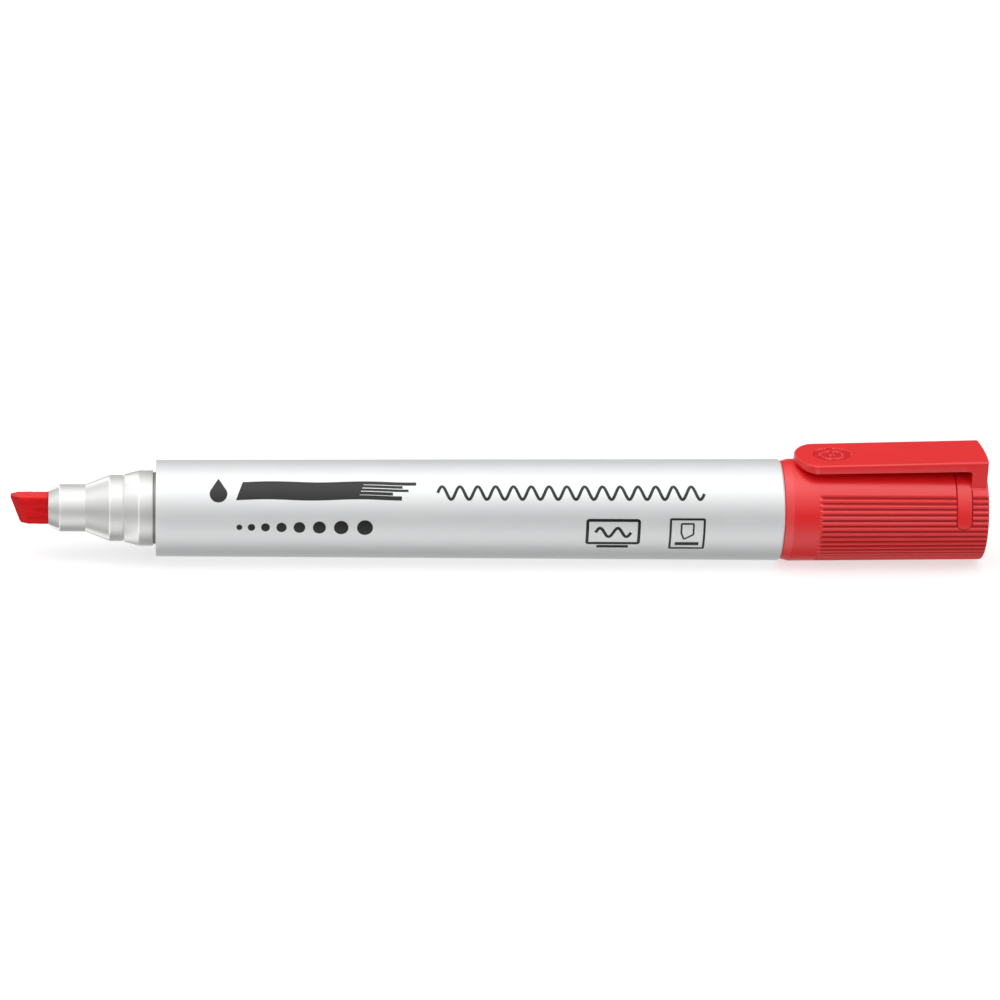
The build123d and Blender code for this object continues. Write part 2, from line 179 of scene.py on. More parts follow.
def rounded(corners, steps=5):
    """Closed (x, r) outline from (x, r, corner radius) points, each corner turned into an arc."""
    outline = []
    count = len(corners)
    for i, (x, r, radius) in enumerate(corners):
        here = Vector((x, r))
        if radius <= 0:
            outline.append((x, r))
            continue
        back = Vector(corners[i - 1][:2]) - here
        on = Vector(corners[(i + 1) % count][:2]) - here
        inside = back.angle(on)
        reach = radius / math.tan(inside / 2)
        reach = min(reach, back.length * 0.48, on.length * 0.48)
        start = here + back.normalized() * reach
        end = here + on.normalized() * reach
        for k in range(steps + 1):
            t = k / steps
            # A quadratic curve through the corner's control point is close to the arc.
            point = start * (1 - t) ** 2 + here * 2 * t * (1 - t) + end * t ** 2
            outline.append((point.x, point.y))
    return outline


def ring_points(outline):
    """One ring of points about the X axis for each (x, r) of an outline."""
    angles = [2 * math.pi * k / TURNED_SEGMENTS for k in range(TURNED_SEGMENTS)]
    return [(x, r * math.sin(angle), r * math.cos(angle)) for x, r in outline for angle in angles]


def ring_faces(rings, segments):
    """Faces between neighbouring rings, and between the last and the first."""
    faces = []
    for i in range(rings):
        a = i * segments
        b = (i + 1) % rings * segments
        for k in range(segments):
            n = (k + 1) % segments
            faces.append((a + k, a + n, b + n, b + k))
    return faces


def turned(name, corners, material, body, **options):
    """Solid turned about the X axis from a closed outline of (x, r, corner radius)."""
    outline = rounded(corners)
    faces = ring_faces(len(outline), TURNED_SEGMENTS)
    return new_piece(name, ring_points(outline), faces, material, body, **options)


def ease(value, low, high):
    """0 below low, 1 above high, smooth between."""
    t = min(1.0, max(0.0, (value - low) / (high - low)))
    return t * t * (3 - 2 * t)


def spaced(low, high, step):
    """Evenly spaced values from low to high, about one step apart."""
    count = max(1, round((high - low) / step))
    return [low + (high - low) * i / count for i in range(count + 1)]


def merged(*lists):
    """One sorted list without near repeats."""
    values = []
    for value in sorted(v for part in lists for v in part):
        if not values or value - values[-1] > 1e-4:
            values.append(value)
    return values


# ---------------------------------------------------------------- material helpers
def add_node(tree, kind, inputs=None, **settings):
    """Node whose inputs are linked to sockets or set to values."""
    node = tree.nodes.new(kind)
    for key, value in settings.items():
        setattr(node, key, value)
    for key, value in (inputs or {}).items():
        if isinstance(value, bpy.types.NodeSocket):
            tree.links.new(value, node.inputs[key])
        else:
            node.inputs[key].default_value = value
    return node


def set_stops(node, stops):
    """Give a colour ramp its (place, RGB colour) stops."""
    elements = node.color_ramp.elements
    while len(elements) < len(stops):
        elements.new(0.5)
    for element, (place, color) in zip(elements, stops):
        element.position = place
        element.color = (*color, 1)


class Shader:
    """A node material with a Principled surface and short calls for the nodes round it."""

    def __init__(self, name, **surface):
        self.material = bpy.data.materials.new(name)
        self.material.use_nodes = True
        self.tree = self.material.node_tree
        self.surface = self.tree.nodes["Principled BSDF"]
        self.coords = self.add("ShaderNodeTexCoord").outputs["Object"]
        for key, value in surface.items():
            self.surface.inputs[key.replace("_", " ")].default_value = value

    def add(self, kind, inputs=None, **settings):
        return add_node(self.tree, kind, inputs, **settings)

    def stretched(self, x, y, z):
        """Object coordinates scaled by axis, for grain that runs along the marker."""
        return self.add("ShaderNodeMapping", {"Vector": self.coords, "Scale": (x, y, z)}).outputs[0]

    def noise(self, scale, detail=3.0, roughness=0.55, vector=None):
        inputs = {"Vector": vector or self.coords, "Scale": scale, "Detail": detail, "Roughness": roughness}
        return self.add("ShaderNodeTexNoise", inputs).outputs["Fac"]

    def ramp(self, value, stops):
        node = self.add("ShaderNodeValToRGB", {"Fac": value})
        set_stops(node, stops)
        return node.outputs["Color"]

    def spread(self, value, low, high):
        """Noise, which keeps near its middle, spread over a range of values."""
        inputs = {"Value": value, "From Min": 0.3, "From Max": 0.7, "To Min": low, "To Max": high}
        return self.add("ShaderNodeMapRange", inputs).outputs["Result"]

    def math(self, operation, a, b):
        return self.add("ShaderNodeMath", {0: a, 1: b}, operation=operation).outputs[0]

    def tint(self, factor, low, high):
        """Colour between low and high."""
        return self.ramp(factor, [(0.3, low), (0.7, high)])

    def set(self, name, value):
        self.tree.links.new(value, self.surface.inputs[name])

    def bump(self, *layers):
        """Bump from (height, depth in millimetres) layers, coarsest first."""
        normal = None
        for height, depth in layers:
            inputs = {"Height": height, "Strength": 1.0, "Distance": depth * MM}
            if normal:
                inputs["Normal"] = normal
            normal = self.add("ShaderNodeBump", inputs).outputs["Normal"]
        self.set("Normal", normal)


def shade(color, factor):
    return tuple(min(1.0, c * factor) for c in color)


def moulded_plastic(name, color, roughness, grain=0.0016, grain_size=0.5, mottle=0.04, painted_shade=None,
                    **surface):
    """Injection-moulded plastic: faint flow mottling, uneven gloss and a satin grain of a depth and
    size in millimetres. An attribute on the mesh, 0 to 1, is painted shade: it darkens and dulls the places
    it marks."""
    s = Shader(name, **surface)
    flow = s.noise(90, detail=4, vector=s.stretched(0.35, 1, 1))
    tone = s.tint(flow, shade(color, 1 - mottle), shade(color, 1 + mottle))
    if painted_shade:
        # Painted shade from the mesh's attribute: darker colour and duller gloss where it is high.
        depth = s.add("ShaderNodeAttribute", attribute_name=painted_shade).outputs["Fac"]
        dark = (*shade(color, 0.30), 1)
        tone = s.add("ShaderNodeMixRGB", {"Fac": depth, "Color1": tone, "Color2": dark}).outputs[0]
        gloss = s.surface.inputs["Specular IOR Level"].default_value
        painted_shade_gloss = {"Value": depth, "To Min": gloss, "To Max": gloss * 0.15}
        s.set("Specular IOR Level", s.add("ShaderNodeMapRange", painted_shade_gloss).outputs["Result"])
    s.set("Base Color", tone)
    s.set("Roughness", s.spread(s.noise(260, detail=4), roughness - 0.03, roughness + 0.04))
    s.bump((s.noise(240), grain * 2), (s.noise(1 / (grain_size * MM), detail=2), grain))
    return s.material


def felt(name, light, dark, **surface):
    """Bonded fibre: strands along X, matted and uneven in colour, with fibre ends on cut faces."""
    s = Shader(name, Roughness=0.85, **surface)
    strands = s.noise(2100, detail=5, roughness=0.7, vector=s.stretched(0.13, 1, 1))
    patches = s.noise(700, detail=3, vector=s.stretched(0.6, 1, 1))
    both = s.math("MULTIPLY", s.spread(strands, 0.55, 1.25), s.spread(patches, 0.8, 1.2))
    s.set("Base Color", s.ramp(both, [(0.3, dark), (1.0, light)]))
    pits = s.noise(4200, detail=2, vector=s.stretched(0.3, 1, 1))
    s.bump((strands, 0.10), (pits, 0.04))
    return s.material


RED = (0.80, 0.012, 0.015)
# The cap and the holder read painted shade from their meshes.
CAP_RED = moulded_plastic("cap_red_plastic", RED, 0.31, grain_size=0.4, mottle=0.03, painted_shade="painted_shade",
                          Specular_IOR_Level=0.75)
# The mark's floor is textured, and a darker red as painted shade of its recess.
MARK_RED = moulded_plastic("cap_red_textured_shaded", shade(RED, 0.68), 0.55, grain=0.008, grain_size=0.25,
                           mottle=0.08, Specular_IOR_Level=0.3)
PLUG_RED = moulded_plastic("plug_red_plastic", shade(RED, 0.92), 0.32, Specular_IOR_Level=0.8)
SILVER = moulded_plastic("barrel_silver_white", (0.80, 0.81, 0.815), 0.31, grain=0.0006, grain_size=1.2,
                         mottle=0.008, Metallic=0.30)
HOLDER_GREY = moulded_plastic("holder_pale_grey", (0.80, 0.80, 0.785), 0.18, grain=0.0003, grain_size=0.9,
                              mottle=0.01, painted_shade="painted_shade", Metallic=0.35)
NATURAL = moulded_plastic("natural_plastic", (0.82, 0.81, 0.77), 0.4)
NIB_FELT = felt("nib_red_felt", (0.80, 0.010, 0.014), (0.44, 0.003, 0.005), Sheen_Weight=0.9,
                Sheen_Roughness=0.4, Sheen_Tint=(1.0, 0.44, 0.39, 1.0), Specular_IOR_Level=0.1)
RESERVOIR = felt("reservoir_red_fibre", (0.85, 0.25, 0.24), (0.55, 0.05, 0.06))
FILM = moulded_plastic("clear_wrap_film", (0.85, 0.80, 0.79), 0.12, Alpha=0.55)
INK = moulded_plastic("printed_black_ink", (0.004, 0.0035, 0.0035), 0.33, grain=0.0008, mottle=0.3,
                      Specular_IOR_Level=0.5)


# ---------------------------------------------------------------- barrel, holder, plug
def barrel_r(x):
    """Outer radius of the barrel, which widens slightly to the rear."""
    run = (x - BARREL_FRONT_X) / (BARREL_REAR_X - BARREL_FRONT_X)
    return BARREL_FRONT_R + (BARREL_REAR_R - BARREL_FRONT_R) * run


def make_barrel():
    """Open tube. Rings along it keep its faces short, so that they shade evenly."""
    bore_front = BARREL_FRONT_R - BARREL_WALL
    bore_rear = BARREL_REAR_R - BARREL_WALL
    along = spaced(BARREL_FRONT_X + 1, BARREL_REAR_X - 1, 2.0)
    return turned("barrel_body", [
        (BARREL_FRONT_X, bore_front, 0.05),
        (BARREL_FRONT_X, BARREL_FRONT_R, 0.12),
        *((x, barrel_r(x), 0.0) for x in along),
        (BARREL_REAR_X - 0.28, BARREL_REAR_R, 0.25),
        (BARREL_REAR_X, BARREL_REAR_R - 0.26, 0.08),
        (BARREL_REAR_X, bore_rear, 0.05),
    ], SILVER, "marker", stands_for=["barrel"], slot="barrel_plastic")


def rectangle_ring(half_y, half_z, corner):
    """Rounded rectangle sampled at the same angles as a turned ring."""
    ring = []
    for k in range(TURNED_SEGMENTS):
        angle = 2 * math.pi * k / TURNED_SEGMENTS
        dy, dz = math.sin(angle), math.cos(angle)
        reach = min(half_y / max(abs(dy), 1e-9), half_z / max(abs(dz), 1e-9))
        y, z = reach * dy, reach * dz
        cy, cz = abs(y) - (half_y - corner), abs(z) - (half_z - corner)
        if cy > 0 and cz > 0:
            pull = corner / max(math.hypot(cy, cz), 1e-9)
            y = math.copysign(half_y - corner + cy * min(1, pull), y)
            z = math.copysign(half_z - corner + cz * min(1, pull), z)
        ring.append((y, z))
    return ring


def make_holder():
    """Stepped front section: turned outside, nib-shaped hole right through."""
    nose_x = HOLDER_LOW.x
    rear_x = HOLDER_HIGH.x
    groove_rear_x = BARREL_FRONT_X + 0.1
    outline = rounded([
        (nose_x, HOLDER_NOSE_R - 0.14, 0.0),
        (nose_x, HOLDER_NOSE_R, 0.10),
        (SEAL_FRONT_X, SEAL_R, 0.90),
        (SEAL_REAR_X, SEAL_R, 0.06),
        (STEP_FRONT_X, STEP_R, 1.10),
        (STEP_REAR_X, STEP_R, 0.10),
        (STEP_REAR_X + 0.17, STEP_R - 0.13, 0.05),
        (SWELL_X, SWELL_R, 0.06),
        (SEAT_FRONT_X, SEAT_R, 1.30),
        (GROOVE_FRONT_X, SEAT_R, 0.12),
        (GROOVE_FRONT_X, NECK_R, 0.04),
        (groove_rear_x, NECK_R, 0.03),
        (groove_rear_x, 6.28, 0.0),
        (rear_x, 6.30, 0.1),
        (rear_x, 4.2, 0.0),
    ])[:-1]
    verts = ring_points(outline)
    hole = rectangle_ring(NIB_HIGH.y, NIB_HIGH.z, 0.3)
    wider = rectangle_ring(NIB_HIGH.y + 0.08, NIB_HIGH.z + 0.08, 0.36)
    for x, ring in ((rear_x, hole), (nose_x + 0.25, hole), (nose_x + 0.06, hole), (nose_x, wider)):
        verts += [(x, y, z) for y, z in ring]
    faces = ring_faces(len(outline) + 4, TURNED_SEGMENTS)
    # The groove in front of the barrel lies in shadow, so it gets painted shade.
    painted_shade = [0.8 if x > GROOVE_FRONT_X - 0.02 and math.hypot(y, z) < SEAT_R - 0.02 else 0.0
              for x, y, z in verts]
    return new_piece("holder_body", verts, faces, HOLDER_GREY, "marker",
                     stands_for=["nib_holder"], slot="holder_plastic", painted_shade=painted_shade)


def make_plug():
    """Hollow plug: a skirt in the barrel and the spigot that the cap posts on, with a gate mark."""
    wall = 1.0
    end_wall = 1.2
    axis_r = 0.02       # the middle is closed down to this radius
    skirt_r = barrel_r(PLUG_LOW.x) - BARREL_WALL
    shoulder_x = BARREL_REAR_X - 0.02
    end = PLUG_HIGH.x
    gate_x = end - 0.25
    return turned("plug_body", [
        (PLUG_LOW.x, skirt_r - wall, 0.1),
        (PLUG_LOW.x, skirt_r, 0.1),
        (shoulder_x, BARREL_REAR_R - BARREL_WALL, 0.05),
        (shoulder_x, SEAT_R, 0.12),
        (end, SEAT_R, 1.1),
        (end, 1.1, 0.15),
        (gate_x, 0.9, 0.1),
        (gate_x, axis_r, 0.0),
        (end - end_wall, axis_r, 0.0),
        (end - end_wall, SEAT_R - wall, 0.4),
        (BARREL_REAR_X, SEAT_R - wall, 0.2),
    ], PLUG_RED, "marker", stands_for=["end_plug"], slot="plug_plastic")


# ---------------------------------------------------------------- nib
def make_nib():
    """Chisel-cut felt: a grid over its section, pulled back to the slant and the two bevels."""
    half_y, half_z = NIB_HIGH.y, NIB_HIGH.z
    corner = 0.32
    cell = 0.11                     # grid step of the cut faces
    ys = merged(spaced(-half_y, half_y, cell), [-NIB_EDGE_HALF, NIB_EDGE_HALF])
    zs = spaced(-half_z, half_z, cell)
    shares = spaced(0, 1, 0.028)    # places from the cut faces to show_x
    tip_x, rear_x = NIB_LOW.x, NIB_HIGH.x
    show_x = HOLDER_LOW.x + 1.5     # behind this the nib is inside the holder

    def section(y, z):
        """Point of the square grid moved onto the rounded section."""
        cy = (abs(y) - (half_y - corner)) / corner
        cz = (abs(z) - (half_z - corner)) / corner
        if cy > 0 and cz > 0:
            y = math.copysign(half_y - corner + corner * cy * math.sqrt(1 - cz * cz / 2), y)
            z = math.copysign(half_z - corner + corner * cz * math.sqrt(1 - cy * cy / 2), z)
        return y, z

    def front(y, z):
        """X of the cut faces."""
        slant = (half_z - z) / (2 * half_z) * NIB_TIP_LENGTH
        bevel = max(0.0, abs(y) - NIB_EDGE_HALF) / (half_y - NIB_EDGE_HALF) * NIB_TIP_LENGTH
        # The cut edges are slightly worn.
        worn = 0.10 * (ease(abs(z), half_z - 0.35, half_z) + ease(abs(y), half_y - 0.3, half_y))
        return tip_x + slant + bevel + worn

    def rough(point):
        """Uneven fibre surface, drawn out along the nib."""
        x, y, z = point
        field = Vector((x * 0.9, y * 4.2, z * 4.2))
        fine = Vector((x * 2.6, y * 9.0, z * 9.0))
        push = 0.035 * noise.noise(field) + 0.020 * noise.noise(fine)
        out = Vector((0, y / half_y ** 2, z / half_z ** 2))
        out.x = -0.6 * max(0.0, 1 - (x - tip_x) / 2.5)
        return Vector(point) + out.normalized() * (push - 0.03)

    verts, index = [], {}
    for i, y0 in enumerate(ys):
        for j, z0 in enumerate(zs):
            y, z = section(y0, z0)
            index[i, j] = len(verts)
            verts.append(rough((front(y, z), y, z)))
    faces = [(index[i, j], index[i + 1, j], index[i + 1, j + 1], index[i, j + 1])
             for i in range(len(ys) - 1) for j in range(len(zs) - 1)]
    last_i, last_j = len(ys) - 1, len(zs) - 1
    rim = [(i, 0) for i in range(last_i)] + [(last_i, j) for j in range(last_j)]
    rim += [(i, last_j) for i in range(last_i, 0, -1)] + [(0, j) for j in range(last_j, 0, -1)]
    loop = [index[key] for key in rim]

    def extend(ahead, points):
        """Add a ring of points behind the one ahead, joined to it by faces."""
        ring = list(range(len(verts), len(verts) + len(points)))
        verts.extend(points)
        for k in range(len(ring)):
            n = (k + 1) % len(ring)
            faces.append((ahead[k], ring[k], ring[n], ahead[n]))
        return ring

    sections = [section(ys[i], zs[j]) for i, j in rim]
    for t in shares[1:]:
        loop = extend(loop, [rough((front(y, z) + (show_x - front(y, z)) * t, y, z)) for y, z in sections])
    # Hidden length: straight to the reservoir, then tapered into it.
    for x, scale in ((rear_x - 5, 0.99), (rear_x, 0.45)):
        loop = extend(loop, [(x, y * scale, z * scale) for y, z in sections])
    faces.append(tuple(loop))
    return new_piece("nib_body", verts, faces, NIB_FELT, "marker", stands_for=["nib"], slot="nib_felt")


# ---------------------------------------------------------------- cap
def cap_r(x):
    """Radius of the cap's smooth outer face."""
    if x < CAP_LIP_X:
        return CAP_LIP_R
    return CAP_LIP_R + (CAP_END_R - CAP_LIP_R) * (x - CAP_LIP_X) / (CAP_END_X - CAP_LIP_X)


def pad_distance(x, beta):
    """Signed distance to the pad's outline, negative inside. beta is degrees from the clip's plane."""
    r = cap_r(x)
    along = x - (PAD_LOW_X + PAD_HALF)
    straight_end = PAD_REACH - math.degrees(PAD_HALF / r)
    past = max(0.0, math.radians(beta - straight_end) * r)
    return math.hypot(along, past) - PAD_HALF


def groove_depth(x, beta):
    """Depth of the grip grooves, a wave round the cap that leaves out the side under the clip."""
    pitch = 360 / GROOVES_PER_TURN
    if beta < FIRST_GROOVE - pitch / 2:
        return 0.0
    wave = 0.5 + 0.5 * math.cos(2 * math.pi * (beta - FIRST_GROOVE) / pitch)
    run_in = ease(x, GROOVE_START_X, GROOVE_START_X + GROOVE_RUN_IN)
    return GROOVE_DEPTH * wave ** GROOVE_SHARPNESS * run_in


def cap_relief(x, beta):
    """Depth cut into the smooth face, and the painted shade of the place from 0 to 1."""
    distance = pad_distance(x, beta)
    hairline = max(0.0, 1 - abs(distance) / HAIRLINE_HALF)
    groove = groove_depth(x, beta) * ease(distance, 0.0, HAIRLINE_HALF)
    # Groove bottoms and the pad's hairline get painted shade.
    painted_shade = max(hairline, 0.75 * ease(groove, 0.05, GROOVE_DEPTH))
    # The mouth's edge is painted in shadow.
    if x < MOUTH_X + MOUTH_SHADOW:
        painted_shade = 0.8
    # Painted shadow under the clip, where little light gets in between the clip and the cap.
    across = cap_r(x) * math.sin(math.radians(beta))
    if beta < 90 and x < POST_X:
        covered = ease(x, CLIP_LOW.x + 0.6, CLIP_LOW.x + 4.5) * (1 - ease(across, 2.6, 4.5))
        painted_shade = max(painted_shade, 0.45 * covered)
    return max(HAIRLINE_DEPTH * hairline, groove), painted_shade


def cap_outside():
    """Outline of the outer face from the mouth to the end, with rings close where the relief needs it."""
    pad_high_x = PAD_LOW_X + 2 * PAD_HALF
    edge_x = CAP_END_X - 0.40
    relief_x = merged(
        spaced(CAP_LIP_X + 0.3, GROOVE_START_X - 0.1, 0.6),
        spaced(GROOVE_START_X, GROOVE_START_X + GROOVE_RUN_IN, 0.09),
        spaced(GROOVE_START_X + GROOVE_RUN_IN + 0.2, PAD_LOW_X - 0.3, 1.5),
        spaced(PAD_LOW_X - 0.15, PAD_LOW_X + 0.15, 0.03),
        spaced(PAD_LOW_X + 0.15, pad_high_x - 0.15, 0.09),
        spaced(pad_high_x - 0.15, pad_high_x + 0.15, 0.03),
        spaced(pad_high_x + 0.3, edge_x, 0.5),
    )
    behind_lip = (CAP_LIP_X + 2, cap_r(CAP_LIP_X + 2), 0)
    lip = rounded([(MOUTH_X, 6.3, 0), (MOUTH_X, CAP_MOUTH_R, 0.10), (CAP_LIP_X, CAP_LIP_R, 0.10),
                   behind_lip])[1:-1]
    end = rounded([(edge_x - 1, cap_r(edge_x - 1), 0), (CAP_END_X, CAP_END_R, 0.36), (CAP_END_X, 2.0, 0)],
                  steps=8)[1:-1]
    # Two more rings on the lip's cone keep the painted shadow at the mouth's edge narrow.
    slope = (CAP_LIP_R - CAP_MOUTH_R) / (CAP_LIP_X - MOUTH_X)
    cone = [(MOUTH_X + along, CAP_MOUTH_R + slope * along) for along in (1.5 * MOUTH_SHADOW, 0.7)]
    half = len(lip) // 2
    lip = lip[:half] + cone + lip[half:]
    return lip + [(x, cap_r(x)) for x in relief_x if x > lip[-1][0]] + end


def cap_end_face():
    """Outline over the end face and into the gate mark, almost to the axis."""
    flat = [(CAP_END_X, r) for r in (6.9, 6.2, 5.0, 3.4, 1.7)]
    gate = [(0.0, 1.25), (0.05, 1.15), (0.22, 1.0), (0.25, 0.9), (0.25, 0.35), (0.20, 0.28), (0.12, 0.2)]
    return flat + [(CAP_END_X - depth, r) for depth, r in gate]


def cap_inside():
    """Outline of the hollow from the axis to the mouth, with the bead that snaps onto the seat."""
    bore = SEAT_R + 0.05
    hollow_r = 6.6
    step_x = MOUTH_X + 10.3
    end_wall_x = CAP_END_X - 1.4
    return rounded([
        (end_wall_x, 0.2, 0),
        (end_wall_x, hollow_r, 0.6),
        (step_x + 0.6, hollow_r, 0.1),
        (step_x, bore, 0.1),
        (MOUTH_X + 1.95, bore, 0.1),
        (MOUTH_X + 1.5, SEAT_R + 0.02, 0.2),
        (MOUTH_X + 1.05, bore, 0.1),
        (MOUTH_X + 0.35, bore, 0.1),
        (MOUTH_X, bore + 0.35, 0.08),
    ], steps=3)


def make_cap():
    """Shell as one grid of rings along the outline."""
    segments = GROOVES_PER_TURN * GROOVE_SAMPLES
    outside, end_face = cap_outside(), cap_end_face()
    outline = outside + end_face + cap_inside()
    verts, painted_shade = [], []
    for i, (x, r) in enumerate(outline):
        cut = i < len(outside)
        for k in range(segments):
            angle = 2 * math.pi * k / segments
            beta = math.degrees(angle)
            beta = min(beta, 360 - beta)
            # Each point also gets the painted shade of its place.
            relief, painted_shade_amount = cap_relief(x, beta) if cut else (0.0, 0.0)
            ring_r = min(r, cap_r(x) - relief)
            verts.append((x, ring_r * math.sin(angle), ring_r * math.cos(angle)))
            painted_shade.append(painted_shade_amount)
    # The outline's gap at the axis is closed by a small disc on each side of the end wall.
    gate_disc = (len(outside) + len(end_face) - 1) * segments
    hollow_disc = gate_disc + segments
    faces = ring_faces(len(outline), segments)
    del faces[gate_disc:hollow_disc]
    faces.append(tuple(range(gate_disc, gate_disc + segments)))
    faces.append(tuple(range(hollow_disc, hollow_disc + segments)))
    return new_piece("cap_body", verts, faces, CAP_RED, "cap", stands_for=["cap_shell"], slot="cap_plastic",
                     painted_shade=painted_shade)


# ---------------------------------------------------------------- clip
def clip_run(x):
    """0 at the clip's free end, 1 at the cap's end."""
    return (x - CLIP_LOW.x) / (CAP_END_X - CLIP_LOW.x)


def clip_top_z(x):
    return CLIP_TIP_TOP_Z + CLIP_RISE * clip_run(x)


def clip_under_z(x, y):
    """The underside arches over the cap where the clip lies close to it."""
    side = clip_top_z(x) - CLIP_THICKNESS - CLIP_THICKENING * clip_run(x)
    return side + max(0.0, CAP_CLEAR_Z - side) * (1 - (y / CLIP_HALF) ** 2)


def rounding(distance, radius):
    """Drop of a rounded edge at a distance inside it."""
    inside = max(0.0, radius - distance)
    return radius - math.sqrt(max(0.0, radius ** 2 - inside ** 2))


def mark_depth(x, y):
    """Shallow round recess with a plain ring and a dot left standing in it."""
    reach = math.hypot(x - MARK_X, y)
    recess = 1 - ease(reach, MARK_R - 0.10, MARK_R + 0.04)
    ring = 1 - ease(abs(reach - MARK_RING_R), 0.22, 0.36)
    dot = 1 - ease(reach, 0.50, 0.64)
    return MARK_DEPTH * recess * (1 - max(ring, dot))


def clip_end_pull(x, y):
    """The root end is a shallow arc in plan with rounded corners, and leans out at the top."""
    arc = 0.26 * (y / CLIP_HALF) ** 2 + 0.20 * ease(abs(y), CLIP_HALF - 0.7, CLIP_HALF + 0.5)
    return (POST_LEAN - arc) * ease(x, POST_X, CLIP_ROOT_X)


def clip_top_face(x, y, side):
    """Height of the finished top at a distance inside the side edge."""
    edge_drop = rounding(side, CLIP_TOP_R)
    end_drop = rounding(max(0.0, CLIP_ROOT_X - x), CLIP_END_R)
    return clip_top_z(x) - edge_drop - end_drop * (1 - edge_drop / CLIP_TOP_R) - mark_depth(x, y)


def clip_under_face(x, y, side):
    """Height of the finished underside at a distance inside the side edge."""
    fade = 1 - ease(x, POST_X - 1.5, POST_X - POST_FILLET)
    return clip_under_z(x, y) + rounding(side, CLIP_UNDER_R) * fade


